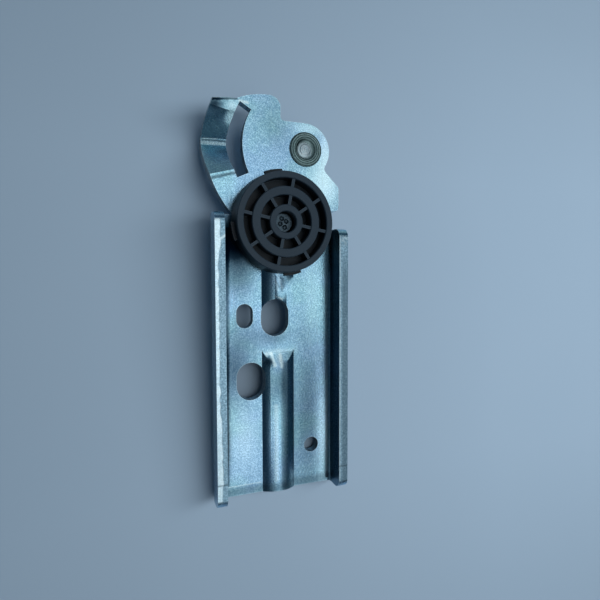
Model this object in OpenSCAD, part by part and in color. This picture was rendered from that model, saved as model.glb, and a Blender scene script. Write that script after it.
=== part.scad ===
// Hinge bracket with a roller and a hinge pin, pressed from one sheet.
// Origin: axis of the hinge pin, in the plane of the bracket's rear face.
// +Y runs along the channel towards the cam-shaped head, +Z out of the open side.

/* [Sheet] */
// Thickness of the pressed steel sheet
sheet_t = 2.5; // [1.8:0.1:3]
// Inside radius of the flange bends
bend_r = 1; // [0.5:0.1:2]

/* [Channel] */
// Width over the flanges
channel_w = 35.2; // [33:0.1:45]
// Height of the flanges, from the rear face
channel_h = 8.8; // [7:0.1:14]
// Roller axis to the foot of the channel
foot_l = 71; // [66:0.5:110]
// Left flange's end above the roller axis
left_end = 2.2; // [0:0.1:4]
// Right flange's end below the roller axis
right_end = 1; // [0:0.1:4]
// Corner radius at the flange ends
flange_corner_r = 2.5; // [0.5:0.1:4]

/* [Head] */
// Roller axis to hinge pin, across the channel
pin_x = 8; // [6:0.1:9]
// Roller axis to hinge pin, along the channel
pin_y = 20.2; // [19:0.1:24]
// Outer radius of the cam strip about the pin
cam_r = 26.8; // [25.5:0.1:28]
// Outer radius of the curved slot
slot_out_r = 20.5; // [19:0.1:21.5]
// Inner radius of the curved slot
slot_in_r = 17.15; // [15:0.05:18]
// Angle at which the curved slot starts
slot_from = 149.5; // [145:0.5:155]
// Angle at which the curved slot ends
slot_to = 205; // [202:0.5:210]
// How far the strip is pressed back, at its middle radius
dip = 4.8; // [2:0.1:5.5]
// Place of the strip's deepest fold above the pin
fold_y = 1; // [-1:0.1:3]
// Width of the fold's flat
fold_w = 1.7; // [0.5:0.1:3]
// Tilt of the fold, down towards the strip's outer edge
fold_tilt = 9.5; // [0:0.5:12]
// Start of the strip's upper leg above the pin
leg_top = 8.5; // [6.5:0.1:9.5]
// Start of the strip's lower leg below the pin
leg_low = 7.8; // [5.5:0.1:8.5]
// Radius of the lobe around the pin
lobe_r = 6.9; // [6.2:0.1:7.5]
// Height of the head's top edge above the pin
crown_h = 13; // [12:0.1:15]
// Radius of the head's top edge
crown_r = 20; // [16:1:40]
// Corner radius of the head's top right corner
crown_corner_r = 3; // [1:0.1:4]
// Place of the head's right shoulder, left of the pin
shoulder_x = 6.9; // [6:0.1:8]
// Height of the strip's top end above the pin
strip_top = 11; // [10.5:0.1:12]
// Drop of the strip's top end towards its outer edge
top_drop = 0.8; // [0:0.1:1.5]
// Side tab's outer edge, beyond the flange's outer face
tab_out = 0.2; // [0:0.1:1]
// Gap between the side tab and the right flange's end
tab_gap = 5.3; // [2:0.1:6.5]
// Reach of the side tab's slanted edge, from the pin's middle
slant_c = 0.3; // [-0.5:0.1:1]
// Corner radius of the side tab
tab_r = 1.1; // [0.5:0.1:2]
// Radius of the notch between the lobe and the side tab
notch_r = 1.5; // [0.5:0.1:2.5]

/* [Ribs] */
// Width of the pressed rib
rib_w = 8.9; // [7:0.1:12]
// Height of the rib above the web
rib_rise = 1.5; // [0.8:0.1:2]
// Roller axis to the start of the lower rib
rib_start = 33; // [31.5:0.5:36]
// Length of the ramp at a rib's end
rib_ramp = 4; // [2.5:0.5:6]
// Roller axis to the upper rib's slanted end, square to that end
upper_end = 14.2; // [12.5:0.1:15]
// Slant of the upper rib's end
end_slant = 33; // [20:1:45]
// Right edge of the upper rib beside the slot, from the roller axis
upper_side = 2.6; // [2:0.1:4.4]
// Radius of the flat pad under the roller
pad_r = 5.5; // [4.5:0.1:7]

/* [Fixing holes] */
// Width of the two fixing slots
fix_w = 7.6; // [5:0.1:8.5]
// Length of the two fixing slots
fix_l = 9.9; // [8.5:0.1:12]
// Upper fixing slot, across from the roller axis
upper_x = -0.8; // [-3:0.1:3]
// Upper fixing slot, below the roller axis
upper_y = 24.4; // [22:0.1:26]
// Lower fixing slot, across from the roller axis
lower_x = -7.45; // [-8:0.05:-6]
// Lower fixing slot, below the roller axis
lower_y = 41; // [40:0.1:50]
// Width of the small slot
small_w = 4.4; // [3:0.1:6]
// Length of the small slot
small_l = 6.3; // [6:0.1:9]
// Small slot, across from the roller axis
small_x = -9; // [-10:0.1:-8]
// Small slot, below the roller axis
small_y = 23.8; // [22:0.1:26]
// Diameter of the round hole
hole_d = 4.1; // [3:0.1:6]
// Round hole, across from the roller axis
hole_x = 9.5; // [8:0.1:10.5]
// Round hole, below the roller axis
hole_y = 60; // [50:0.5:63]

/* [Roller] */
// Diameter of the tread at its front edge
roller_d = 25; // [22:0.1:26]
// Width of the roller
roller_w = 5; // [4:0.1:6]
// How much larger the tread's radius is at the rear
tread_flare = 0.35; // [0:0.05:0.6]
// Radial width of the tread ring
tread_t = 1.65; // [1:0.05:2.5]
// Outer radius of the middle ring
ring_out_r = 8.8; // [8:0.05:9.4]
// Inner radius of the middle ring
ring_in_r = 6.65; // [6:0.05:7.5]
// Outer radius of the hub
hub_r = 4.3; // [3.8:0.05:5]
// Number of spokes in each row
spokes = 8; // [5:1:12]
// Thickness of a spoke
spoke_t = 0.75; // [0.5:0.05:1.5]
// How far the spokes lie below the rings' faces
spoke_sink = 0.35; // [0.35:0.05:0.8]
// Floor that closes the pockets between the spokes, at the back
floor_t = 0.8; // [0.6:0.1:1.5]
// Angle of the first spoke
spoke_phase = 34; // [0:1:45]
// Number of lugs on the tread
lugs = 4; // [2:1:6]
// Height of a lug above the tread's front edge
lug_h = 0.9; // [0.7:0.05:1.2]
// Length of a lug around the tread, as an angle
lug_angle = 20; // [10:1:40]
// Width of a lug along the axis
lug_w = 1.2; // [0.6:0.1:2]
// Place of a lug's rear side, from the roller's rear face
lug_back = 1.3; // [0.5:0.1:2]
// Angle of the first lug
lug_phase = 11; // [0:0.5:89]
// Width of the broken edges on the rings
edge = 0.2; // [0.05:0.05:0.3]

/* [Roller axle] */
// Diameter of the axle
axle_d = 4; // [3:0.1:5]
// Diameter of the staked front head
axle_head_d = 5.1; // [4.4:0.1:6]
// Thickness of the staked front head
axle_head_t = 1; // [0.5:0.1:1.5]
// Diameter of the collar behind the roller
collar_d = 7.2; // [5.5:0.1:8]
// Thickness of the collar
collar_t = 1; // [0.5:0.1:2]
// Diameter of the rear rivet head
axle_foot_d = 6; // [5:0.1:7]
// Thickness of the rear rivet head
axle_foot_t = 0.9; // [0.5:0.1:1.3]

/* [Hinge pin] */
// Diameter of the pin behind the bracket
pin_d = 8; // [7.2:0.1:9]
// Length of the pin behind the bracket
pin_l = 8.3; // [5:0.1:20]
// Chamfer of the pin's tip
pin_chamfer = 0.6; // [0.2:0.1:1]
// Diameter of the shank in the sheet
shank_d = 6.4; // [5:0.1:7]
// Diameter of the swaged ring
swage_d = 9.1; // [8:0.1:10]
// Height of the swaged ring above the sheet
swage_h = 0.5; // [0.3:0.1:1]
// Diameter of the dish in the swaged ring
dish_d = 5.6; // [4:0.1:6]
// Depth of the dish, from the top of the ring
dish_depth = 1.1; // [0.5:0.1:1.5]

/* [Clearances] */
// Radial clearance of the roller on its axle
run_fit = 0.05; // [0.02:0.01:0.1]
// Radial clearance around the axle's front head
head_gap = 0.1; // [0.05:0.05:0.3]
// Play at each end of the roller's hub
end_play = 0.1; // [0.05:0.05:0.3]
// Radial clearance of riveted shanks in the sheet
rivet_gap = 0.02; // [0.01:0.01:0.05]

/* [Hidden] */
$fn = 96;
cut = 0.5;
far = 2 * foot_l;

// Places, seen from the hinge pin
axle_x = -pin_x;
axle_y = -pin_y;
foot_y = axle_y - foot_l;
left_y = axle_y + left_end;
right_y = axle_y - right_end;
half_w = channel_w / 2;
flat_half_w = half_w - sheet_t - bend_r;
tab_right = axle_x + half_w + tab_out;
tab_bottom = right_y + tab_gap;

// Rib section: a circular arc over the rib's width
rib_r = (rib_w * rib_w / 4 + rib_rise * rib_rise) / (2 * rib_rise);
rib_z = sheet_t + rib_rise - rib_r;
ramp_slope = atan(rib_rise / rib_ramp);
crest_z = sheet_t + rib_rise;

// Strip: its middle radius and the slope of each leg
strip_r = (cam_r + slot_out_r) / 2;
upper_slope = atan(dip / (leg_top - fold_y - fold_w / 2));
lower_slope = atan(dip / (leg_low + fold_y - fold_w / 2));

// Heights along the axle
roller_z = crest_z + collar_t + end_play;
roller_front = roller_z + roller_w;
hub_floor = 1.2;
head_z = roller_z + hub_floor + end_play;
foot_z = crest_z - sheet_t - axle_foot_t;

module place_axle() {
    translate([axle_x, axle_y, 0]) children();
}

// Long hole, upright, centred on the origin
module long_hole_2d(w, l) {
    square([w, l - w], center = true);
    for (end = [-1, 1])
        translate([0, end * (l - w) / 2]) circle(d = w);
}

// Rectangle in the first quadrant whose two upper corners are round
module round_top_2d(l, h, r) {
    square([l, h - r]);
    translate([r, 0]) square([l - 2 * r, h]);
    for (x = [r, l - r])
        translate([x, h - r]) circle(r);
}

// One half of the channel's section: half the web, the bend and the flange
module half_section_2d() {
    outer_r = bend_r + sheet_t;
    square([half_w - outer_r, sheet_t]);
    translate([half_w - sheet_t, outer_r]) square([sheet_t, channel_h - outer_r]);
    translate([half_w - outer_r, outer_r]) intersection() {
        difference() {
            circle(outer_r);
            circle(bend_r);
        }
        translate([0, -outer_r]) square(outer_r);
    }
}

// Half of the channel from the foot to its end, on the side that x_dir names
module half_channel(x_dir, end_y) {
    length = end_y - foot_y;
    translate([axle_x, foot_y, 0]) mirror([x_dir < 0 ? 1 : 0, 0, 0]) intersection() {
        translate([0, length, 0]) rotate([90, 0, 0]) linear_extrude(length) half_section_2d();
        rotate([90, 0, 90]) linear_extrude(half_w) round_top_2d(length, channel_h, flange_corner_r);
    }
}

// Side tab and its slanted edge. The slant is the line x + y = slant_c, and the notch is the
// circle that touches both this line and the lobe.
module tab_2d() {
    reach = slant_c + notch_r * sqrt(2);
    spread = sqrt(pow(lobe_r + notch_r, 2) / 2 - reach * reach / 4);
    notch = [reach / 2 + spread, reach / 2 - spread];
    on_lobe = notch * lobe_r / (lobe_r + notch_r);
    on_slant = notch - [1, 1] * notch_r / sqrt(2);
    low = [tab_right - tab_r, tab_bottom + tab_r];
    high = [low.x, slant_c - tab_right - tab_r * (sqrt(2) - 1)];
    difference() {
        polygon([[0, 0], on_lobe, notch, on_slant, [0, tab_bottom]]);
        translate(notch) circle(notch_r);
    }
    polygon([
        [0, tab_bottom],
        [low.x, tab_bottom],
        [tab_right, low.y],
        [tab_right, high.y],
        high + [1, 1] * tab_r / sqrt(2),
        on_slant
    ]);
    for (corner = [low, high])
        translate(corner) circle(tab_r);
}

// Crown: the head's top edge, its round corner and its right shoulder
module crown_2d() {
    corner_x = -shoulder_x - crown_corner_r;
    corner_y = crown_h - crown_corner_r;
    fillet_r = 1;
    intersection() {
        translate([corner_x, crown_h - crown_r]) circle(crown_r, $fn = 240);
        translate([-far, 0]) square([far + corner_x, far]);
        circle(cam_r, $fn = 240);
    }
    translate([corner_x, corner_y]) circle(crown_corner_r);
    translate([corner_x, 0]) square([crown_corner_r, corner_y]);
    translate([-shoulder_x, 0]) square([shoulder_x, lobe_r]);
    translate([-shoulder_x, lobe_r]) difference() {
        square(fillet_r);
        translate([fillet_r, fillet_r]) circle(fillet_r);
    }
}

// Flat outline of the head down into the channel's web
module head_2d() {
    foot_end = right_y - flange_corner_r;
    web_right = axle_x + flat_half_w;
    circle(lobe_r);
    crown_2d();
    tab_2d();
    intersection() {
        circle(cam_r, $fn = 240);
        polygon([
            [-cam_r, foot_end],
            [web_right, foot_end],
            [web_right, tab_bottom],
            [0, tab_bottom],
            [0, 0],
            [-shoulder_x, 0],
            [-shoulder_x, strip_top],
            [-slot_out_r, strip_top],
            [-cam_r, strip_top - top_drop]
        ]);
    }
}

// Ring sector between two angles
module sector_2d(r_in, r_out, from, to) {
    reach = 2 * r_out;
    mid = (from + to) / 2;
    intersection() {
        difference() {
            circle(r_out, $fn = 240);
            circle(r_in, $fn = 240);
        }
        polygon([
            [0, 0],
            [reach * cos(from), reach * sin(from)],
            [reach * cos(mid), reach * sin(mid)],
            [reach * cos(to), reach * sin(to)]
        ]);
    }
}

// All that lies above the strip's front face, moved back by drop
module above_strip(drop) {
    low = dip + drop;
    upper_x = fold_w / 2 + drop * tan(upper_slope / 2);
    lower_x = -fold_w / 2 - drop * tan(lower_slope / 2);
    translate([-strip_r, fold_y, sheet_t])
        rotate([0, -fold_tilt, 0])
            rotate([90, 0, 90])
                translate([0, 0, -far])
                    linear_extrude(2 * far) polygon([
                        [lower_x, -low],
                        [upper_x, -low],
                        [upper_x + far / tan(upper_slope), far - low],
                        [lower_x - far / tan(lower_slope), far - low]
                    ]);
}

// All that lies under the strip's front face, moved back by drop
module under_strip(drop) {
    difference() {
        translate([-far, -far, -far]) cube([2 * far, 2 * far, far + sheet_t - drop]);
        above_strip(drop);
    }
}

// The pressed strip beside the curved slot
module strip() {
    margin = 6;
    intersection() {
        translate([0, 0, -far]) linear_extrude(2 * far) intersection() {
            sector_2d(slot_out_r, cam_r, slot_from - margin, slot_to + margin);
            head_2d();
        }
        difference() {
            under_strip(0);
            under_strip(sheet_t);
        }
    }
}

module head() {
    margin = 6;
    linear_extrude(sheet_t) difference() {
        head_2d();
        sector_2d(slot_in_r, slot_out_r, slot_from, slot_to);
        sector_2d(slot_out_r, cam_r + 1, slot_from, slot_to);
    }
    strip();
}

// Rod along Y whose upper part is the rib, from one place to another
module rib_rod(r, from, to) {
    translate([0, from, rib_z]) rotate([-90, 0, 0]) cylinder(r = r, h = to - from);
}

// All that lies below a ramp. Before its turn about the roller axis, the ramp leaves the web's
// front face at y = distance and climbs towards -Y.
module below_ramp(distance, turn, drop) {
    rotate([0, 0, turn])
        translate([0, distance, sheet_t - drop / cos(ramp_slope)])
            rotate([-ramp_slope, 0, 0])
                translate([-far, -far, -far]) cube([2 * far, 2 * far, far]);
}

// Lower rib, and with drop set to the sheet its hollow behind
module lower_rib(drop) {
    intersection() {
        rib_rod(rib_r - drop, -foot_l - drop, -rib_start);
        below_ramp(-rib_start, 0, drop);
    }
}

// Upper rib from the pad to the upper fixing slot, with its slanted end and its narrowed side
module upper_rib(drop) {
    intersection() {
        rib_rod(rib_r - drop, -upper_y, 0);
        union() {
            below_ramp(upper_end, 180 + end_slant, drop);
            below_ramp(upper_side, -90, drop);
        }
    }
}

module ribs_and_pad() {
    translate([0, 0, sheet_t - cut]) cylinder(r1 = pad_r + rib_rise + cut, r2 = pad_r, h = rib_rise + cut);
    intersection() {
        union() {
            lower_rib(0);
            upper_rib(0);
        }
        translate([-rib_w, -foot_l, sheet_t - cut]) cube([2 * rib_w, foot_l, rib_rise + 2 * cut]);
    }
}

module hollows() {
    translate([0, 0, -cut]) cylinder(r = axle_foot_d / 2 + cut, h = rib_rise + cut);
    intersection() {
        union() {
            lower_rib(sheet_t);
            upper_rib(sheet_t);
        }
        translate([-rib_w, -foot_l - cut, -cut]) cube([2 * rib_w, foot_l + cut, rib_rise + 2 * cut]);
    }
}

module web_holes() {
    depth = crest_z + 2 * cut;
    translate([0, 0, -cut]) {
        translate([upper_x, -upper_y, 0]) linear_extrude(depth) long_hole_2d(fix_w, fix_l);
        translate([lower_x, -lower_y, 0]) linear_extrude(depth) long_hole_2d(fix_w, fix_l);
        translate([small_x, -small_y, 0]) linear_extrude(depth) long_hole_2d(small_w, small_l);
        translate([hole_x, -hole_y, 0]) cylinder(d = hole_d, h = depth);
        cylinder(d = axle_d + 2 * rivet_gap, h = depth);
    }
}

module bracket() {
    color("lightsteelblue") difference() {
        union() {
            half_channel(1, right_y);
            half_channel(-1, left_y);
            head();
            place_axle() ribs_and_pad();
        }
        place_axle() {
            hollows();
            web_holes();
        }
        translate([0, 0, -cut]) cylinder(d = shank_d + 2 * rivet_gap, h = sheet_t + 2 * cut);
    }
}

// Ring with broken front and rear edges; its outside may flare towards the rear
module ring(r_in, r_out, flare) {
    rotate_extrude() polygon([
        [r_in + edge, 0],
        [r_out + flare - edge, 0],
        [r_out + flare, edge],
        [r_out, roller_w - edge],
        [r_out - edge, roller_w],
        [r_in + edge, roller_w],
        [r_in, roller_w - edge],
        [r_in, edge]
    ]);
}

// Hub: a bore for the axle and a wide bore in front for the axle's head
module hub() {
    bore_r = axle_d / 2 + run_fit;
    wide_r = axle_head_d / 2 + head_gap;
    rotate_extrude() polygon([
        [bore_r, 0],
        [hub_r - edge, 0],
        [hub_r, edge],
        [hub_r, roller_w - edge],
        [hub_r - edge, roller_w],
        [wide_r + edge, roller_w],
        [wide_r, roller_w - edge],
        [wide_r, hub_floor],
        [bore_r, hub_floor]
    ]);
}

// Row of spokes from one ring to the next, rooted in both rings
module spoke_row(r_from, r_to) {
    root = 0.3;
    for (i = [0 : spokes - 1])
        rotate([0, 0, spoke_phase + i * 360 / spokes])
            translate([r_from - root, -spoke_t / 2, spoke_sink])
                cube([r_to - r_from + 2 * root, spoke_t, roller_w - 2 * spoke_sink]);
}

// Thin floor behind the spokes, rooted in the hub and in the tread
module pocket_floor() {
    root = 0.3;
    tread_in_r = roller_d / 2 - tread_t;
    rotate_extrude()
        translate([hub_r - root, spoke_sink])
            square([tread_in_r - hub_r + 2 * root, floor_t]);
}

// Short lugs that stand on the tread
module tread_lugs() {
    root = tread_t / 2;
    tread_r = roller_d / 2;
    lug_r = tread_r + lug_h;
    for (i = [0 : lugs - 1])
        rotate([0, 0, lug_phase + i * 360 / lugs])
            translate([0, 0, lug_back])
                linear_extrude(lug_w)
                    sector_2d(tread_r - root, lug_r, -lug_angle / 2, lug_angle / 2);
}

module roller() {
    color("dimgray") place_axle() translate([0, 0, roller_z]) {
        ring(roller_d / 2 - tread_t, roller_d / 2, tread_flare);
        ring(ring_in_r, ring_out_r, 0);
        hub();
        spoke_row(ring_out_r, roller_d / 2 - tread_t);
        spoke_row(hub_r, ring_in_r);
        pocket_floor();
        tread_lugs();
    }
}

// Axle: rear rivet head, shank through the pad, collar, running length and staked head
module roller_axle() {
    shank_r = axle_d / 2;
    head_r = axle_head_d / 2;
    foot_r = axle_foot_d / 2;
    collar_r = collar_d / 2;
    stakes = [[0.9, 25], [1.1, 110], [0.8, 200], [1.2, 290]];
    color("slategray") place_axle() difference() {
        rotate_extrude() polygon([
            [0, foot_z],
            [foot_r - edge, foot_z],
            [foot_r, foot_z + edge],
            [foot_r, foot_z + axle_foot_t],
            [shank_r, foot_z + axle_foot_t],
            [shank_r, crest_z],
            [collar_r, crest_z],
            [collar_r, crest_z + collar_t],
            [shank_r, crest_z + collar_t],
            [shank_r, head_z],
            [head_r, head_z],
            [head_r, head_z + axle_head_t - edge],
            [head_r - edge, head_z + axle_head_t],
            [0, head_z + axle_head_t]
        ]);
        for (s = stakes)
            rotate([0, 0, s[1]]) translate([s[0], 0, head_z + axle_head_t + 0.35]) sphere(0.7, $fn = 32);
    }
}

// Hinge pin: chamfered pin behind, shank through the sheet, swaged and dished ring in front
module pivot_stud() {
    pin_r = pin_d / 2;
    shank_r = shank_d / 2;
    swage_r = swage_d / 2;
    dish_r = dish_d / 2;
    top = sheet_t + swage_h;
    floor_z = top - dish_depth;
    color("darkslategray") rotate_extrude() polygon([
        [0, -pin_l],
        [pin_r - pin_chamfer, -pin_l],
        [pin_r, -pin_l + pin_chamfer],
        [pin_r, 0],
        [shank_r, 0],
        [shank_r, sheet_t],
        [swage_r, sheet_t],
        [swage_r, sheet_t + swage_h * 0.4],
        [swage_r - swage_h * 0.6, top],
        [dish_r, top],
        [dish_r * 0.78, floor_z],
        [dish_r * 0.6, floor_z],
        [dish_r * 0.45, floor_z + dish_depth * 0.5],
        [dish_r * 0.2, floor_z + dish_depth * 0.62],
        [0, floor_z + dish_depth * 0.65]
    ]);
}

bracket();
roller();
roller_axle();
pivot_stud();
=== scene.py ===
# %% [markdown]
# # A refrigerator hinge, dressed for its portrait
# The real thing is one pressed piece of zinc-plated sheet steel. It carries a plastic roller on a rivet,
# and a steel hinge pin that is swaged into its head. The exact solids come from the CAD model.
# This lesson gives them softened edges, worn metal, moulded plastic, a table and a studio light.

# %% Load the solids
import math

import bpy
from mathutils import Matrix, Vector


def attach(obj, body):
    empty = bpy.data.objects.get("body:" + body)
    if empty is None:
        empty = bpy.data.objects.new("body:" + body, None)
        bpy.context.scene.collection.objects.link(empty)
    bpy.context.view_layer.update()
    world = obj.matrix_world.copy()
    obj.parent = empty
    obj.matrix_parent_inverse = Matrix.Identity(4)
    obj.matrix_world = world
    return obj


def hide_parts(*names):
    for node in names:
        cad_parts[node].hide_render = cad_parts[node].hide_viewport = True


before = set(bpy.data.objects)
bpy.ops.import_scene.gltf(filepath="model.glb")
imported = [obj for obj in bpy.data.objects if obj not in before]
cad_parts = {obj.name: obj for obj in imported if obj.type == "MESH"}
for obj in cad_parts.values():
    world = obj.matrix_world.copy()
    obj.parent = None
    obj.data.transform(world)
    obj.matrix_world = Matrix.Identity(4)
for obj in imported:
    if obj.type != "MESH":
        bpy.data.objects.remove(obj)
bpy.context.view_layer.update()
MM = 0.001
print("solids:", sorted(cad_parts))

# %% [markdown]
# ## Small helpers
# A shader graph is many nodes and many wires. The first four helpers place a node with its options, work out
# a sum, stretch a value from one span to another, and mix two colours. With them each finish below reads as
# a short recipe.

# %% Helpers for nodes


def put(tree, kind, into=None, **options):
    """Adds one node. A socket given for an input is wired to it, and any other value is written in."""
    node = tree.nodes.new(kind)
    for name, value in options.items():
        setattr(node, name, value)
    for name, value in (into or {}).items():
        if isinstance(value, bpy.types.NodeSocket):
            tree.links.new(value, node.inputs[name])
        else:
            node.inputs[name].default_value = value
    return node


def calc(tree, operation, *values, clamp=False):
    """One Math node, and its result."""
    node = put(tree, "ShaderNodeMath", dict(enumerate(values)), operation=operation, use_clamp=clamp)
    return node.outputs[0]


def remap(tree, value, low, high, to_low=0.0, to_high=1.0):
    """Turns the span low..high into to_low..to_high, and holds it there."""
    node = put(tree, "ShaderNodeMapRange", {0: value, 1: low, 2: high, 3: to_low, 4: to_high}, clamp=True)
    return node.outputs[0]


def mix_colour(tree, factor, a, b, blend="MIX"):
    """Mixes two colours. The node itself holds the factor between 0 and 1."""
    node = put(tree, "ShaderNodeMix", {0: factor, 6: a, 7: b}, data_type="RGBA", blend_type=blend)
    return node.outputs[2]


# %% [markdown]
# Marks lie at places, so the next helpers do sums with vectors, take one of the three numbers of a place, and
# read soft noise there. The last two make masks: a soft band about a value, and a product of several masks.

# %% Helpers for places and masks


def vector(tree, operation, a, b=None, scale=None):
    """One Vector Math node. A length or a dot product is a number, and any other result is a vector."""
    given = {0: a}
    if b is not None:
        given[1] = b
    if scale is not None:
        given["Scale"] = scale
    node = put(tree, "ShaderNodeVectorMath", given, operation=operation)
    return node.outputs["Value" if operation in ("LENGTH", "DOT_PRODUCT") else "Vector"]


def axis(tree, place, letter):
    """The X, Y or Z of a place or a direction."""
    return put(tree, "ShaderNodeSeparateXYZ", {0: place}).outputs[letter]


def noise(tree, place, scale, detail, result="Fac"):
    """Soft noise of so many waves to the metre, as a value or as a colour."""
    node = put(tree, "ShaderNodeTexNoise", {"Vector": place, "Scale": scale, "Detail": detail})
    return node.outputs[result]


def near(tree, value, centre, none, full, most=1.0):
    """A soft band: it is at its most within full of the centre, and nothing beyond none."""
    gap = calc(tree, "ABSOLUTE", calc(tree, "SUBTRACT", value, centre))
    return remap(tree, gap, none, full, 0.0, most)


def product(tree, first, *others):
    """Several values multiplied."""
    for other in others:
        first = calc(tree, "MULTIPLY", first, other)
    return first


# %% [markdown]
# A node group is a part of a graph with sockets of its own, so that several finishes can use it. A finish
# starts as an empty material, and ends with a bump of a real depth.

# %% Helpers for groups and finishes


def new_group(name, inputs):
    """An empty node group, the sockets that it is given, and the socket that its mask goes to."""
    tree = bpy.data.node_groups.new(name, "ShaderNodeTree")
    for label, kind, start in inputs:
        socket = tree.interface.new_socket(name=label, in_out="INPUT", socket_type="NodeSocket" + kind)
        socket.default_value = start
    tree.interface.new_socket(name="Mask", in_out="OUTPUT", socket_type="NodeSocketFloat")
    return tree, put(tree, "NodeGroupInput").outputs, put(tree, "NodeGroupOutput").inputs["Mask"]


def use_group(tree, name, **values):
    """Places a group in a material and gives its mask. Half_Width stands for the input Half Width."""
    given = {label.replace("_", " "): value for label, value in values.items()}
    return put(tree, "ShaderNodeGroup", given, node_tree=bpy.data.node_groups[name]).outputs["Mask"]


def new_finish(name):
    """An empty material with its Principled shader and the piece's own coordinates."""
    material = bpy.data.materials.new(name)
    material.use_nodes = True
    tree = material.node_tree
    place = put(tree, "ShaderNodeTexCoord").outputs["Object"]
    return material, tree, tree.nodes["Principled BSDF"], place


def relief(tree, shader, height, strength, depth, facing=None):
    """Wires a height into a shader as a bump of a real depth, on top of the way the surface faces."""
    given = {"Height": height, "Strength": strength, "Distance": depth}
    if facing is not None:
        given["Normal"] = facing
    tree.links.new(put(tree, "ShaderNodeBump", given).outputs["Normal"], shader.inputs["Normal"])


# %% [markdown]
# ## Effects that several finishes share
# Zinc plate, bare steel and plastic all have a fine grain, and some of them are rubbed at their edges, with a
# painted highlight there too. Each effect is built once as a node group. A group only gives a mask. The
# shader stays in the material.

# %% Grain: two sizes of fine mottling
tree, given, mask = new_group(
    "grain",
    [("Place", "Vector", (0, 0, 0)), ("Size", "Float", 0.6), ("Contrast", "Float", 1.0)],
)
USUAL_LEVEL = 0.78
per_metre = calc(tree, "DIVIDE", 1000.0, given["Size"])
fine = put(
    tree,
    "ShaderNodeTexNoise",
    {"Vector": given["Place"], "Scale": per_metre, "Detail": 3.0, "Roughness": 0.6},
)
cells = put(
    tree,
    "ShaderNodeTexVoronoi",
    {"Vector": given["Place"], "Scale": per_metre},
    feature="SMOOTH_F1",
)
both = calc(tree, "ADD", fine.outputs["Fac"], calc(tree, "MULTIPLY", cells.outputs["Distance"], 0.6))
centred = product(tree, calc(tree, "SUBTRACT", both, USUAL_LEVEL), given["Contrast"])
tree.links.new(calc(tree, "ADD", centred, 0.5, clamp=True), mask)
print("group grain:", len(tree.nodes), "nodes")

# %% [markdown]
# Hands and tools rub the edges of a sheet bright, and this mask also stands for a painted highlight where a
# rounded edge would catch the light. A Bevel node gives the way that a rounded surface would face, and where
# that differs from the way the real one faces, the surface turns a corner.

# %% Edge wear and painted edge highlight
tree, given, mask = new_group(
    "edge_wear_and_highlight",
    [("Width", "Float", 0.0004), ("Break Up", "Float", 0.5)],
)
rounded = put(tree, "ShaderNodeBevel", {"Radius": given["Width"]}, samples=4).outputs["Normal"]
true_way = put(tree, "ShaderNodeNewGeometry").outputs["True Normal"]
corner = remap(tree, vector(tree, "DOT_PRODUCT", rounded, true_way), 0.995, 0.85)
tree.links.new(calc(tree, "SUBTRACT", corner, given["Break Up"], clamp=True), mask)
print("group edge_wear_and_highlight:", len(tree.nodes), "nodes")

# %% [markdown]
# Rolling and rubbing leave streaks. They are noise that is drawn out along one way: the place is stretched
# before the noise is read.

# %% Streaks
tree, given, mask = new_group(
    "streaks",
    [("Place", "Vector", (0, 0, 0)), ("Stretch", "Vector", (900.0, 50.0, 900.0)), ("Level", "Float", 0.55)],
)
drawn_out = vector(tree, "MULTIPLY", given["Place"], given["Stretch"])
above = calc(tree, "SUBTRACT", noise(tree, drawn_out, 1.0, 2.0), given["Level"])
tree.links.new(calc(tree, "MULTIPLY", above, 6.0, clamp=True), mask)
print("group streaks:", len(tree.nodes), "nodes")

# %% [markdown]
# Some marks belong to this one piece: a nick, a burr, a press line, and the painted shade and painted
# highlights on its folds and ribs. A soft spot is a round patch that fades out, and a line mark is a stroke
# between two points. Both are placed in millimetres on the real surface.

# %% Soft spot
tree, given, mask = new_group(
    "soft_spot",
    [
        ("Place", "Vector", (0, 0, 0)),
        ("Centre", "Vector", (0, 0, 0)),
        ("Reach", "Vector", (0.001, 0.001, 1.0)),
    ],
)
offset = vector(tree, "SUBTRACT", given["Place"], given["Centre"])
in_reaches = vector(tree, "DIVIDE", offset, given["Reach"])
square = vector(tree, "DOT_PRODUCT", in_reaches, in_reaches)
tree.links.new(calc(tree, "EXPONENT", calc(tree, "MULTIPLY", square, -1.0)), mask)
print("group soft_spot:", len(tree.nodes), "nodes")

# %% Line mark
tree, given, mask = new_group(
    "line_mark",
    [
        ("Place", "Vector", (0, 0, 0)),
        ("Start", "Vector", (0, 0, 0)),
        ("Run", "Vector", (0.001, 0, 0)),
        ("Half Width", "Float", 0.0002),
    ],
)
offset = vector(tree, "SUBTRACT", given["Place"], given["Start"])
along = vector(tree, "DOT_PRODUCT", offset, given["Run"])
share = calc(tree, "DIVIDE", along, vector(tree, "DOT_PRODUCT", given["Run"], given["Run"]), clamp=True)
nearest = vector(tree, "SCALE", given["Run"], scale=share)
gap = vector(tree, "LENGTH", vector(tree, "SUBTRACT", offset, nearest))
widths = calc(tree, "DIVIDE", gap, given["Half Width"])
fade = put(tree, "ShaderNodeMapRange", {0: widths, 1: 1.6, 2: 0.2}, interpolation_type="SMOOTHSTEP")
tree.links.new(fade.outputs[0], mask)
print("group line_mark:", len(tree.nodes), "nodes")

# %% [markdown]
# ## The four pieces
# No pressed, moulded or turned edge is perfectly sharp, and it is the rounding that catches the light. So I
# take a copy of each solid, join its loose triangles, and round its edges with a Bevel modifier. Weighted
# normals then keep the flat faces flat in the light. The solids themselves stay as they are.

# %% A softened copy of a solid
SAME_POINT = 0.002 * MM
SAME_PLANE = math.radians(1.0)
SHARP_EDGE = math.radians(28.0)
SMOOTH_WITHIN = math.radians(40.0)


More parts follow.
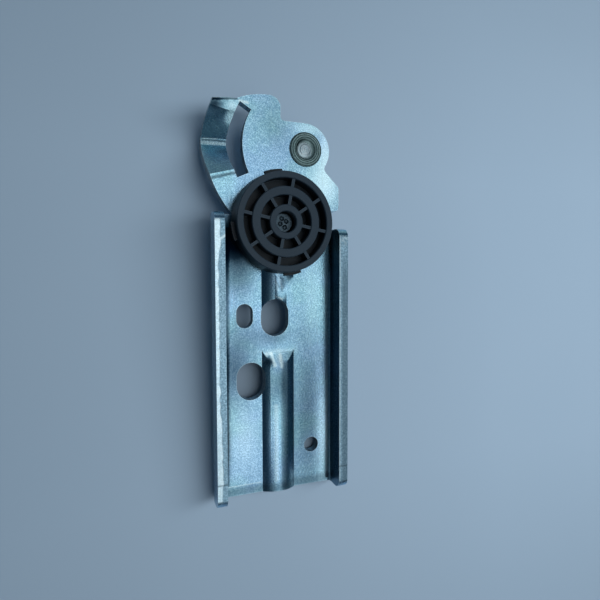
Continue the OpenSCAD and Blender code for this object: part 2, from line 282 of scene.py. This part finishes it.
def softened(node_name, width):
    """A joined copy of a solid, in the solid's place, with its edges rounded by a width in millimetres."""
    bpy.ops.object.select_all(action="DESELECT")
    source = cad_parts[node_name]
    skin = bpy.data.objects.new(node_name + "_skin", source.data.copy())
    bpy.context.collection.objects.link(skin)
    skin.select_set(True)
    bpy.context.view_layer.objects.active = skin
    bpy.ops.object.mode_set(mode="EDIT")
    bpy.ops.mesh.select_all(action="SELECT")
    bpy.ops.mesh.remove_doubles(threshold=SAME_POINT)
    bpy.ops.mesh.dissolve_limited(angle_limit=SAME_PLANE)
    bpy.ops.object.mode_set(mode="OBJECT")
    rounding = skin.modifiers.new("rounding", "BEVEL")
    rounding.width = width * MM
    rounding.segments = 2
    rounding.limit_method = "ANGLE"
    rounding.angle_limit = SHARP_EDGE
    bpy.ops.object.modifier_apply(modifier="rounding")
    bpy.ops.object.shade_smooth_by_angle(angle=SMOOTH_WITHIN)
    steady = skin.modifiers.new("steady", "WEIGHTED_NORMAL")
    steady.keep_sharp = True
    bpy.ops.object.modifier_apply(modifier="steady")
    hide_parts(node_name)
    print(skin.name, len(skin.data.polygons), "faces")
    return skin


# %% [markdown]
# The sheet was cut and bent in a press, so its edges get the widest rounding. Moulded and turned edges are
# crisper. The roller turns on its own body, and the other three pieces stay with the bracket.

# %% The pieces and the bodies they ride on
bracket = softened("bracket", 0.25)
roller = softened("roller", 0.12)
axle = softened("roller_axle", 0.12)
stud = softened("pivot_stud", 0.15)
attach(bracket, "bracket")
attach(axle, "bracket")
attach(stud, "bracket")
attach(roller, "roller")
print("the roller rides on its own body")

# %% [markdown]
# ## Marks on the sheet
# The press bent, drew and scraped this sheet. A soft spot can lean the surface a little, and it can paint
# shade on it and a highlight. A line mark only paints shade and highlights. Most of the darkening here is
# painted shade, and most of the brightening is painted highlights and reflections. The first word of each
# name says which part of the sheet it is on.

# %% Painted shade, painted highlights and leans on the sheet
# Each row: where it is (x, y in mm), how far it reaches, how the surface leans there, how dark (mostly
# painted shade), how bright (mostly painted highlight)
spots = [
    ("web, right and low", (0.2, -70.0), (4.0, 20.0), (0.09, 0.00), 0.22, 0.0),
    ("web, right border, low", (5.0, -78.0), (1.7, 13.0), (-0.15, 0.00), 0.0, 0.32),
    ("web, right border", (5.2, -45.0), (1.5, 22.0), (-0.05, 0.00), 0.0, 0.0),
    ("web, between the ribs", (-9.5, -49.6), (5.0, 2.6), (0.00, 0.00), 0.42, 0.0),
    ("web, left border, low", (-21.9, -77.0), (1.0, 10.0), (0.00, 0.00), 0.55, 0.0),
    ("web, right and high", (2.2, -39.0), (2.5, 9.0), (-0.05, 0.00), 0.0, 0.15),
    ("web, shade of the roller", (-19.5, -24.0), (4.5, 6.0), (0.00, 0.00), 1.6, 0.0),
    ("web, left and darker", (-19.5, -58.0), (5.5, 9.0), (0.00, 0.00), 0.62, 0.0),
    ("web, left under the roller", (-17.0, -36.0), (5.0, 5.0), (0.00, 0.00), 0.12, 0.0),
    ("web, beside the roller", (-18.5, -32.0), (5.5, 7.0), (-0.16, 0.06), 0.25, 0.0),
    ("web, left of the slots", (-19.0, -48.0), (5.0, 6.0), (0.10, -0.04), 0.0, 0.0),
    ("web, left and low", (-17.5, -76.0), (4.0, 8.0), (-0.03, 0.05), 0.0, 0.25),
    ("strip, pressed top", (-24.6, 9.2), (3.0, 2.4), (0.00, -0.48), 0.1, 0.0),
    ("strip, upper leg", (-23.6, 5.2), (3.0, 3.0), (0.00, 0.035), 0.0, 0.0),
    ("strip, dark corner", (-24.0, 8.9), (2.3, 1.7), (0.00, 0.00), 0.85, 0.0),
    ("strip, stretched corner", (-19.9, 6.3), (1.3, 1.4), (0.00, 0.48), 0.0, 0.3),
    ("strip, bright corner", (-19.6, 9.0), (1.4, 1.4), (0.00, -0.05), 0.0, 0.45),
    ("strip, lower leg", (-22.0, -1.6), (1.4, 0.8), (0.00, -0.10), 0.0, 0.25),
    ("upper rib, under the lug", (-5.5, -34.0), (1.5, 1.8), (0.05, 0.10), 0.45, 0.0),
    ("upper rib, crest", (-8.4, -36.2), (0.9, 3.0), (0.00, 0.00), 0.0, 0.10),
    ("upper rib, right side", (-7.1, -35.5), (1.6, 5.5), (-0.42, 0.02), 0.10, 0.0),
    ("lower rib, shaded start", (-8.0, -62.5), (2.6, 5.5), (0.00, 0.00), 0.45, 0.0),
    ("lower rib, left of the crest", (-10.6, -76.0), (0.8, 12.0), (0.12, 0.00), 0.0, 0.0),
    ("lower rib, nose edge", (-8.0, -53.6), (4.2, 0.5), (0.00, -0.08), 0.0, 0.35),
    ("lower rib, dimple", (-10.7, -56.0), (1.0, 1.3), (-0.30, 0.25), 0.50, 0.0),
    ("lower rib, nose", (-7.9, -55.6), (0.9, 1.6), (0.00, 0.05), 0.0, 0.35),
    ("head, by the pin", (6.0, 0.0), (2.2, 5.0), (-0.10, -0.06), 0.0, 0.50),
    ("head, below the pin", (5.5, -8.5), (4.5, 6.0), (-0.10, -0.14), 0.0, 0.65),
    ("head, over the pin", (1.0, 5.6), (4.5, 1.6), (-0.05, -0.10), 0.0, 0.35),
    ("head, upper lobe", (-8.0, 4.0), (4.0, 6.0), (-0.02, 0.06), 0.06, 0.0),
]
# Each row: start and end (x, y in mm), half width, how dark (mostly painted shade), how bright (mostly
# painted highlight)
lines = [
    ("fold, pressed line", (-26.4, 1.40), (-20.6, 1.30), 0.22, 0.75, 0.0),
    ("fold, upper ridge", (-26.3, 1.85), (-22.8, 1.85), 0.16, 0.0, 0.8),
    ("fold, lower ridge", (-26.5, 0.75), (-20.7, 0.60), 0.42, 0.0, 0.55),
    ("strip, tool mark", (-24.8, -9.15), (-19.2, -7.50), 0.42, 0.60, 0.0),
    ("curved slot, burr", (-17.7, 10.45), (-15.7, 10.25), 0.36, 0.0, 0.9),
    ("small slot, nick", (-15.75, -41.9), (-15.35, -42.5), 0.20, 0.0, 0.9),
    ("upper slot, burr", (-9.1, -38.9), (-6.9, -39.75), 0.22, 0.0, 0.8),
    ("upper rib, first fold", (-9.4, -34.0), (-8.2, -37.3), 0.36, 0.0, 0.2),
    ("upper rib, second fold", (-8.4, -33.2), (-7.0, -36.6), 0.34, 0.0, 0.2),
    ("upper rib, dark fold", (-8.9, -34.8), (-7.9, -36.6), 0.16, 0.4, 0.0),
    ("upper rib, shaded side", (-11.0, -31.0), (-11.0, -39.6), 1.25, 0.55, 0.0),
    ("lower rib, shaded side", (-11.7, -56.5), (-11.7, -90.5), 0.75, 0.40, 0.0),
    ("lower rib, right of the crest", (-6.6, -57.0), (-6.7, -90.0), 0.90, 0.40, 0.0),
    ("lower rib, bright crest", (-9.0, -68.0), (-9.0, -88.0), 0.60, 0.0, 0.35),
    ("lower rib, right foot", (-3.6, -55.0), (-3.7, -89.0), 0.70, 0.2, 0.0),
    ("lower rib, arch foot", (-12.2, -56.0), (-11.3, -54.2), 0.45, 0.0, 0.35),
    ("lower rib, arch top", (-11.3, -54.2), (-10.0, -54.2), 0.45, 0.0, 0.40),
    ("lower rib, arch side", (-10.0, -54.2), (-9.3, -57.2), 0.45, 0.0, 0.75),
    ("lower rib, crest streak", (-7.5, -54.6), (-7.4, -57.6), 0.45, 0.0, 0.75),
    ("web, left bend", (-21.4, -22.0), (-22.1, -88.0), 0.62, 0.62, 0.0),
    ("web, right bend", (6.3, -20.0), (6.3, -90.0), 0.50, 0.85, 0.0),
    ("strip, rolled edge", (-24.6, 10.15), (-18.6, 10.9), 0.34, 0.70, 0.0),
    ("web, end band", (-22.6, -90.2), (7.0, -90.2), 1.35, 0.40, 0.0),
    ("web, end line", (-22.6, -88.6), (-13.0, -88.6), 0.16, 0.0, 0.5),
]
print(len(spots), "spots and", len(lines), "lines")

# %% [markdown]
# ## Zinc plate
# The blank is zinc plated, so it is a bluish metal with a mottled gloss. Its grain, its larger clouds and its
# rubbed edges, with their painted highlight, come first. The photo shows the marks on the faces that look up,
# so they are kept to those.

# %% Zinc: grain and clouds
zinc, tree, shader, place = new_finish("zinc_plate")
speck = use_group(tree, "grain", Place=place, Size=0.32, Contrast=2.4)
cloud = noise(tree, place, 140.0, 3.0)
patch = noise(tree, place, 90.0, 2.0)
rub = use_group(tree, "streaks", Place=place)
lit_rubbed_edge = use_group(tree, "edge_wear_and_highlight", Width=0.4 * MM)
surface = put(tree, "ShaderNodeNewGeometry").outputs["Normal"]
faces_up = remap(tree, axis(tree, surface, "Z"), 0.3, 0.6)
print("zinc_plate starts with", len(tree.nodes), "nodes")

# %% [markdown]
# No mark has a ruled edge, so noise shakes the place before any mark is read. The loops then add each mark
# to three sums: how dark it is, which is mostly painted shade, how bright it is, which is mostly a painted
# highlight, and which way the surface leans.

# %% Zinc: the marks
SHAKE = 0.4 * MM


def flat_point(x, y):
    """A place on the sheet, in metres."""
    return (x * MM, y * MM, 0.0)


shaken = vector(tree, "SCALE", noise(tree, place, 1600.0, 1.0, "Color"), scale=SHAKE)
shaken = vector(tree, "SUBTRACT", vector(tree, "ADD", place, shaken), (SHAKE / 2, SHAKE / 2, 0.0))
flat_place = vector(tree, "MULTIPLY", shaken, (1.0, 1.0, 0.0))
dark, bright, lean = 0.0, 0.0, surface
for name, centre, reach, tilt, darker, brighter in spots:
    reach = (reach[0] * MM, reach[1] * MM, 1.0)
    spot = use_group(tree, "soft_spot", Place=flat_place, Centre=flat_point(*centre), Reach=reach)
    spot.node.label = name
    spot = product(tree, spot, faces_up)
    lean = vector(tree, "ADD", lean, vector(tree, "SCALE", (tilt[0], tilt[1], 0.0), scale=spot))
    dark = calc(tree, "MULTIPLY_ADD", spot, darker, dark)
    bright = calc(tree, "MULTIPLY_ADD", spot, brighter, bright)
for name, start, end, half_width, darker, brighter in lines:
    start, end = Vector(flat_point(*start)), Vector(flat_point(*end))
    stroke = use_group(
        tree, "line_mark", Place=flat_place, Start=start[:], Run=(end - start)[:], Half_Width=half_width * MM
    )
    stroke.node.label = name
    stroke = product(tree, stroke, faces_up)
    dark = calc(tree, "MULTIPLY_ADD", stroke, darker, dark)
    bright = calc(tree, "MULTIPLY_ADD", stroke, brighter, bright)
print("zinc_plate with its marks:", len(tree.nodes), "nodes")

# %% [markdown]
# Plated steel is never one blue. Small specks differ in brightness, and patches of about a centimetre lean to
# violet or to green. The upright walls of the channel get a painted shade, the inner ones most. The marks
# then lay on their painted shade and painted highlights, and a mark above 0.9 in darkness goes on to near
# black, as in the painted shade beside the roller. Last, the rubbed edges get their colour, which is a
# painted highlight too.

# %% Zinc: colour, painted shade and painted highlights
DARK_SPECK, LIGHT_SPECK = (0.25, 0.48, 0.66, 1), (0.54, 0.84, 1.0, 1)
VIOLET, GREENISH = (0.965, 0.94, 1.0, 1), (0.94, 1.0, 0.92, 1)
SHADED_WALL, SHADE_AND_TOOL_MARK, DEEP_SHADE = (0.03, 0.10, 0.16, 1), (0.03, 0.07, 0.11, 1), (0.001, 0.010, 0.026, 1)
HIGHLIGHT_AND_BURNISH, RUBBED_AND_LIT = (0.76, 0.96, 1.0, 1), (0.76, 0.95, 1.0, 1)
channel_middle = -8.0 * MM
colour = mix_colour(tree, speck, DARK_SPECK, LIGHT_SPECK)
tint = mix_colour(tree, remap(tree, patch, 0.38, 0.62), VIOLET, GREENISH)
colour = mix_colour(tree, 1.0, colour, tint, blend="MULTIPLY")
upright = calc(tree, "ABSOLUTE", axis(tree, surface, "X"))
from_middle = calc(tree, "ABSOLUTE", calc(tree, "SUBTRACT", axis(tree, place, "X"), channel_middle))
inner_or_outer = remap(tree, from_middle, 16.2 * MM, 16.8 * MM, 0.85, 0.40)
wall_shade = product(tree, remap(tree, upright, 0.66, 0.92), inner_or_outer)
colour = mix_colour(tree, wall_shade, colour, SHADED_WALL)
colour = mix_colour(tree, dark, colour, SHADE_AND_TOOL_MARK)
colour = mix_colour(tree, remap(tree, dark, 0.9, 1.4), colour, DEEP_SHADE)
colour = mix_colour(tree, bright, colour, HIGHLIGHT_AND_BURNISH)
colour = mix_colour(tree, lit_rubbed_edge, colour, RUBBED_AND_LIT)
tree.links.new(colour, shader.inputs["Base Color"])
print("zinc_plate with its colour:", len(tree.nodes), "nodes")

# %% [markdown]
# Light specks are a little glossier, and clouds, streaks and the marks of painted shade are rougher. The bump
# is fine, and it sits on the leaning surface, so that a dent turns the light without any change to the mesh.

# %% Zinc: gloss and relief
rough = calc(tree, "MULTIPLY_ADD", speck, -0.06, 0.20)
for mottling, amount in ((cloud, 0.12), (rub, 0.05)):
    rough = calc(tree, "MULTIPLY_ADD", mottling, amount, rough)
rough = calc(tree, "MULTIPLY_ADD", dark, 0.25, rough, clamp=True)
tree.links.new(rough, shader.inputs["Roughness"])
shader.inputs["Metallic"].default_value = 1.0
height = calc(tree, "MULTIPLY_ADD", cloud, 2.5, calc(tree, "MULTIPLY", speck, 0.35))
relief(tree, shader, height, 0.5, 0.06 * MM, facing=vector(tree, "NORMALIZE", lean))
print("zinc_plate:", len(tree.nodes), "nodes")

# %% [markdown]
# ## Cut edges
# The blank was cut by a punch. A punch leaves a bright band where it slid along the steel, and a dull torn
# band where the sheet broke. Cut edges therefore get a finish of their own, with fine lines that run through
# the sheet's thickness. On the left flange the border between the bands wanders, and the bright band is wider
# near both ends.

# %% Cut edge: how the bands run
BORDER_X = -24.65 * MM
sheared, tree, shader, place = new_finish("sheared_edge")
speck = use_group(tree, "grain", Place=place, Size=0.4, Contrast=2.2)
drag = use_group(tree, "streaks", Place=place, Stretch=(2500.0, 2500.0, 250.0), Level=0.45)
tone = calc(tree, "MULTIPLY", calc(tree, "ADD", speck, drag), 0.5)
x, y = axis(tree, place, "X"), axis(tree, place, "Y")
wave = noise(tree, place, 420.0, 2.0)
wander = calc(tree, "MULTIPLY_ADD", calc(tree, "SUBTRACT", wave, 0.5), 0.9 * MM, x)
near_head = remap(tree, y, -30.0 * MM, -26.0 * MM)
near_foot = remap(tree, y, -66.0 * MM, -72.0 * MM)
wander = calc(tree, "MULTIPLY_ADD", calc(tree, "ADD", near_head, near_foot), -0.45 * MM, wander)
slid = remap(tree, wander, BORDER_X, BORDER_X - 0.2 * MM)
print("sheared_edge starts with", len(tree.nodes), "nodes")

# %% [markdown]
# Three places get the polished band as well: a burnished diagonal step at the head end of the left flange,
# and painted highlights on the upper corner of the right flange and on the right flange's inner lip. Lower
# down, the right flange's edge is darker than the left one's, and a dark punch line crosses both near the
# foot.

# %% Cut edge: places of their own
diagonal = calc(tree, "MULTIPLY_ADD", x, -0.75, y)
step = near(tree, diagonal, -6.55 * MM, 0.55 * MM, 0.25 * MM, most=0.8)
step = product(tree, step, remap(tree, x, -22.0 * MM, -22.6 * MM))
upper_corner_highlight = product(
    tree,
    remap(tree, x, 7.4 * MM, 8.0 * MM),
    remap(tree, y, -26.0 * MM, -23.5 * MM),
    remap(tree, speck, 0.3, 0.7),
)
inner_lip_highlight = near(tree, x, 7.25 * MM, 0.30 * MM, 0.15 * MM, most=0.6)
for bright_place in (step, upper_corner_highlight, inner_lip_highlight):
    slid = calc(tree, "MAXIMUM", slid, bright_place)
right_side = remap(tree, x, 7.6 * MM, 8.2 * MM)
right_side = product(tree, right_side, remap(tree, y, -27.0 * MM, -34.0 * MM, 0.0, 0.5))
punch_line = near(tree, y, -84.9 * MM, 0.32 * MM, 0.10 * MM, most=0.6)
border_line = near(tree, slid, 0.5, 0.5, 0.0, most=0.5)
print("sheared_edge with its places:", len(tree.nodes), "nodes")

# %% [markdown]
# The colours are laid over each other: torn steel, its darker stretches, the polish where the punch slid, and
# last the shade on the edges that look to the left. A polished band is smoother, and its bump is quieter.

# %% Cut edge: colour, gloss and relief
TORN_DARK, TORN_LIGHT = (0.26, 0.44, 0.56, 1), (0.56, 0.82, 0.96, 1)
RIGHT_SIDE, BORDER_LINE = (0.08, 0.13, 0.17, 1), (0.10, 0.17, 0.22, 1)
POLISHED, PUNCH_LINE, SHADED = (0.74, 0.90, 0.95, 1), (0.10, 0.16, 0.20, 1), (0.04, 0.07, 0.09, 1)
colour = mix_colour(tree, tone, TORN_DARK, TORN_LIGHT)
colour = mix_colour(tree, right_side, colour, RIGHT_SIDE)
colour = mix_colour(tree, border_line, colour, BORDER_LINE)
polish = product(tree, slid, remap(tree, wave, 0.35, 0.62, 0.92, 0.62))
colour = mix_colour(tree, polish, colour, POLISHED)
colour = mix_colour(tree, punch_line, colour, PUNCH_LINE)
sideways = axis(tree, put(tree, "ShaderNodeNewGeometry").outputs["Normal"], "X")
colour = mix_colour(tree, remap(tree, sideways, -0.2, -0.8, 0.0, 0.8), colour, SHADED)
tree.links.new(colour, shader.inputs["Base Color"])
rough = calc(tree, "MULTIPLY_ADD", slid, -0.16, remap(tree, tone, 0.0, 1.0, 0.46, 0.30))
tree.links.new(rough, shader.inputs["Roughness"])
shader.inputs["Metallic"].default_value = 1.0
height = product(tree, tone, calc(tree, "MULTIPLY_ADD", slid, -0.85, 1.0))
relief(tree, shader, height, 0.5, 0.06 * MM)
print("sheared_edge:", len(tree.nodes), "nodes")

# %% [markdown]
# ## Moulded plastic
# The roller is dark grey plastic with the faint mottling of a mould. Its edges are rubbed lighter, with a
# painted highlight on them as well. Its pockets look black in the photo, so a painted shade grows darker with
# depth below the rings' front. Its gloss is held back, because the photo shows almost no shine on it.

# %% Moulded plastic
GREY_DARK, GREY_LIGHT = (0.015, 0.028, 0.042, 1), (0.024, 0.041, 0.058, 1)
POCKET_SHADE, RUBBED_AND_LIT_PLASTIC = (0.002, 0.004, 0.006, 1), (0.08, 0.11, 0.14, 1)
plastic, tree, shader, place = new_finish("grey_plastic")
mottle = use_group(tree, "grain", Place=place, Size=0.25, Contrast=1.2)
lit_rubbed_edge = use_group(tree, "edge_wear_and_highlight", Width=0.3 * MM)
shade_with_depth = remap(tree, axis(tree, place, "Z"), 9.4 * MM, 7.6 * MM, 0.0, 0.85)
colour = mix_colour(tree, shade_with_depth, mix_colour(tree, mottle, GREY_DARK, GREY_LIGHT), POCKET_SHADE)
tree.links.new(mix_colour(tree, lit_rubbed_edge, colour, RUBBED_AND_LIT_PLASTIC), shader.inputs["Base Color"])
tree.links.new(remap(tree, mottle, 0.0, 1.0, 0.38, 0.52), shader.inputs["Roughness"])
shader.inputs["Specular IOR Level"].default_value = 0.36
relief(tree, shader, mottle, 0.2, 0.03 * MM)
print("grey_plastic:", len(tree.nodes), "nodes")

# %% [markdown]
# ## Bare steel of the rivet
# The rivet that carries the roller ends deep in the hub, where a punch has staked it. It looks darker and
# rougher than the plated sheet, so it is taken as bare steel, with a coarser grain.

# %% Bare steel of the rivet
STEEL_DARK, STEEL_LIGHT = (0.05, 0.08, 0.10, 1), (0.16, 0.21, 0.25, 1)
rivet, tree, shader, place = new_finish("rivet_steel")
mottle = use_group(tree, "grain", Place=place, Size=0.4, Contrast=1.8)
tree.links.new(mix_colour(tree, mottle, STEEL_DARK, STEEL_LIGHT), shader.inputs["Base Color"])
tree.links.new(remap(tree, mottle, 0.0, 1.0, 0.36, 0.55), shader.inputs["Roughness"])
shader.inputs["Metallic"].default_value = 1.0
relief(tree, shader, mottle, 0.5, 0.06 * MM)
print("rivet_steel:", len(tree.nodes), "nodes")

# %% [markdown]
# ## Turned steel of the hinge pin
# The pin was turned on a lathe and then swaged. The tool leaves rings about its axis, and a sine of the
# distance from the axis draws them well. The pin's axis is the frame's own Z axis, so that distance is easy
# to find. The groove of the swaged ring gets a painted shade, darkest on its left, and the centre is bright.

# %% Turned steel: rings and colour
RING_WAVES, LINE_WAVES = 16000.0, 11500.0
RING_DARK, RING_LIGHT, GROOVE_SHADE = (0.06, 0.10, 0.10, 1), (0.34, 0.48, 0.47, 1), (0.03, 0.05, 0.045, 1)
CENTRE_DARK, CENTRE_LIGHT = (0.34, 0.52, 0.58, 1), (0.95, 1.0, 1.0, 1)
turned, tree, shader, place = new_finish("turned_steel")
mottle = use_group(tree, "grain", Place=place, Size=0.4, Contrast=1.4)
from_axis = vector(tree, "LENGTH", vector(tree, "MULTIPLY", place, (1.0, 1.0, 0.0)))
rings = calc(tree, "SINE", calc(tree, "MULTIPLY", from_axis, RING_WAVES))
cut_lines = calc(tree, "SINE", calc(tree, "MULTIPLY", from_axis, LINE_WAVES))
ring = mix_colour(tree, calc(tree, "MULTIPLY_ADD", cut_lines, 0.55, mottle), RING_DARK, RING_LIGHT)
left_half = remap(tree, axis(tree, place, "X"), 1.0 * MM, -2.0 * MM, 0.15, 0.85)
groove = near(tree, from_axis, 2.5 * MM, 0.7 * MM, 0.2 * MM)
ring = mix_colour(tree, product(tree, groove, left_half), ring, GROOVE_SHADE)
wavy = calc(tree, "MULTIPLY_ADD", calc(tree, "SUBTRACT", mottle, 0.5), 0.9 * MM, from_axis)
centre = mix_colour(tree, mottle, CENTRE_DARK, CENTRE_LIGHT)
colour = mix_colour(tree, remap(tree, wavy, 2.3 * MM, 1.5 * MM), ring, centre)
tree.links.new(colour, shader.inputs["Base Color"])
print("turned_steel with its colour:", len(tree.nodes), "nodes")

# %% [markdown]
# The solid's recess is crisp, and on the real pin it looks worn nearly flat. So the surface is made to face
# up more, most of all near the axis, before the fine bump goes on.

# %% Turned steel: gloss and relief
tree.links.new(remap(tree, mottle, 0.0, 1.0, 0.30, 0.46), shader.inputs["Roughness"])
shader.inputs["Metallic"].default_value = 1.0
worn = remap(tree, from_axis, 3.5 * MM, 2.6 * MM, 0.4, 2.2)
upward = vector(tree, "SCALE", (0.0, 0.0, 1.0), scale=worn)
surface = put(tree, "ShaderNodeNewGeometry").outputs["Normal"]
levelled = vector(tree, "NORMALIZE", vector(tree, "ADD", surface, upward))
relief(tree, shader, calc(tree, "MULTIPLY_ADD", rings, 0.5, mottle), 0.5, 0.05 * MM, facing=levelled)
print("turned_steel:", len(tree.nodes), "nodes")

# %% [markdown]
# ## Put the finishes on
# Each piece gets one finish. The plain name listed for its slot is not used here.

# %% Put the finishes on
for piece, finish, slot in (
    (bracket, zinc, "zinc_sheet"),
    (roller, plastic, "roller_plastic"),
    (axle, rivet, "axle_steel"),
    (stud, turned, "pin_steel"),
):
    piece.data.materials.clear()
    piece.data.materials.append(finish)
    print(piece.name, "wears", finish.name)

# %% [markdown]
# The bracket has a second finish, for its cut edges. Those are the narrow tops of the flanges, and every face
# that stands upright apart from the broad walls of the flanges.

# %% Cut edges of the bracket
FLANGE_TOP = 8.8 * MM
WALL_AREA = 20 * MM * MM
bracket.data.materials.append(sheared)
cut_edges = []
for face in bracket.data.polygons:
    on_wall = abs(face.normal.x) > 0.98 and face.area > WALL_AREA
    stands_up = abs(face.normal.z) < 0.35 and not on_wall
    on_flange_top = face.normal.z > 0.9 and face.center.z > FLANGE_TOP - 0.15 * MM
    if stands_up or on_flange_top:
        face.material_index = 1
        cut_edges.append(face.index)
print(len(cut_edges), "faces are cut edges")

# %% [markdown]
# ## The table
# Left to itself the bracket rests on the tip of its pin and on the back edge of its foot. The solids keep
# their own frame, so the table is tilted to meet those two places instead. A hair of 0.03 mm is left between.

# %% Table
pin_tip = Vector((0.0, -3.4 * MM, -8.3 * MM))
foot_edge = Vector((0.0, -91.2 * MM, 0.0))
slope = math.atan2(pin_tip.z - foot_edge.z, pin_tip.y - foot_edge.y)
middle = (pin_tip + foot_edge) / 2 - Vector((0, 0, 0.03 * MM))
bpy.ops.object.select_all(action="DESELECT")
bpy.ops.mesh.primitive_plane_add(size=3.0, location=middle, rotation=(slope, 0, 0))
floor = bpy.context.object
floor.name = "floor"
print("table tilted by", round(math.degrees(slope), 2), "degrees")

# %% [markdown]
# The table is painted a pale blue grey. In the photo it grows paler to the right and darker towards both
# ends, and a painted light falloff does the same here. Its paint is also darker under the web, a painted
# shade, because the gap behind the slots is darker in the photo than this soft light would leave it. That
# holds for the table's upper side only.

# %% Table paint
PAINT_DARK, PAINT_LIGHT, BLACK = (0.40, 0.525, 0.65, 1), (0.44, 0.565, 0.69, 1), (0, 0, 0, 1)
paint, tree, shader, place = new_finish("pale_table")
x, y = axis(tree, place, "X"), axis(tree, place, "Y")
to_the_right = remap(tree, x, -0.09, 0.07, 0.80, 1.0)
to_the_ends = remap(tree, calc(tree, "ABSOLUTE", y), 0.045, 0.11, 1.0, 0.90)
shade_under_web = product(
    tree,
    near(tree, x, -7.5 * MM, 15.0 * MM, 11.0 * MM),
    near(tree, y, -16.0 * MM, 30.0 * MM, 26.0 * MM, most=0.42),
    calc(tree, "SUBTRACT", 1.0, put(tree, "ShaderNodeNewGeometry").outputs["Backfacing"]),
)
light = product(tree, to_the_right, to_the_ends, calc(tree, "SUBTRACT", 1.0, shade_under_web))
clouded = mix_colour(tree, noise(tree, place, 9.0, 3.0), PAINT_DARK, PAINT_LIGHT)
tree.links.new(mix_colour(tree, light, BLACK, clouded), shader.inputs["Base Color"])
shader.inputs["Roughness"].default_value = 0.5
shader.inputs["Specular IOR Level"].default_value = 0.3
floor.data.materials.append(paint)
print("pale_table:", len(tree.nodes), "nodes")

# %% [markdown]
# ## Light
# A near lamp, high on the right, lights the table and gives the soft shadow. It is hidden from reflections,
# because the room's own glow already stands for it there.

# %% Lamp
bpy.ops.object.light_add(type="AREA")
lamp = bpy.context.object
lamp.name = "near_lamp"
lamp.data.shape = "RECTANGLE"
lamp.data.size = 0.14
lamp.data.size_y = 0.48
lamp.data.energy = 1.06
lamp.data.color = (0.93, 0.97, 1.0)
target = Vector((-5 * MM, -40 * MM, 0))
lamp.location = target + Vector((0.18, 0.04, 0.355))
lamp.rotation_euler = (lamp.location - target).to_track_quat("Z", "Y").to_euler()
lamp.visible_glossy = False
print("lamp at", [round(v, 3) for v in lamp.location], "metres")

# %% [markdown]
# Bare metal shows its surroundings, so the room matters more than the lamp. Here the room is a dome with one
# broad soft glow high on the right, a pale band along the horizon and a low blue light everywhere else, which
# leaves the sides of the ribs and flanges dark. A direction divided by its height is a place on the ceiling,
# and the glow is a bell curve about one such place.

# %% Room
GLOW_PLACE, GLOW_REACH, GLOW_LEVEL = (0.22, -0.08), (0.36, 0.80), 1.18
BAND_LEVEL, LOW_LEVEL = 0.35, 0.053
LOW_BLUE, PALE = (0.25, 0.62, 1.0, 1), (0.86, 0.94, 1.0, 1)
world = bpy.data.worlds.new("room")
bpy.context.scene.world = world
world.use_nodes = True
tree = world.node_tree
sky = tree.nodes["Background"]
way = put(tree, "ShaderNodeTexCoord").outputs["Generated"]
rise = axis(tree, way, "Z")
squares = []
for letter, centre, reach in zip("XY", GLOW_PLACE, GLOW_REACH):
    on_ceiling = calc(tree, "DIVIDE", axis(tree, way, letter), calc(tree, "MAXIMUM", rise, 0.05))
    in_reaches = calc(tree, "DIVIDE", calc(tree, "SUBTRACT", on_ceiling, centre), reach)
    squares.append(calc(tree, "POWER", in_reaches, 2.0))
glow = calc(tree, "EXPONENT", calc(tree, "MULTIPLY", calc(tree, "ADD", *squares), -1.0))
band = remap(tree, rise, 0.42, 0.12, 0.0, BAND_LEVEL)
level = calc(tree, "MULTIPLY_ADD", glow, GLOW_LEVEL, band)
tree.links.new(calc(tree, "ADD", level, LOW_LEVEL), sky.inputs["Strength"])
tree.links.new(mix_colour(tree, remap(tree, level, 0.0, 0.3), LOW_BLUE, PALE), sky.inputs["Color"])
print("room:", len(tree.nodes), "nodes")

# %% [markdown]
# ## Camera
# The camera stands where the photographer did: its place, its turn and its focal length were solved from the
# photo's edges. The three directions below are its right, its up and the way back from the picture.

# %% Camera
FOCAL_PIXELS, PICTURE_PIXELS = 454.82, 600.0
right = Vector((0.93483, -0.00278, 0.35507))
up = Vector((0.02175, 0.99854, -0.04943))
back = Vector((-0.35442, 0.05394, 0.93353))
stand = Vector((-45.21, -33.50, 117.22)) * MM
bpy.ops.object.camera_add()
camera = bpy.context.object
camera.name = "camera"
camera.data.sensor_width = 36.0
camera.data.lens = camera.data.sensor_width * FOCAL_PIXELS / PICTURE_PIXELS
camera.data.clip_start = 0.01
turn = Matrix((right, up, back)).transposed().to_4x4()
camera.matrix_world = Matrix.Translation(stand) @ turn
bpy.context.scene.camera = camera
bpy.context.scene.view_settings.view_transform = "Standard"
print("camera at", [round(v / MM, 1) for v in camera.location], "mm")
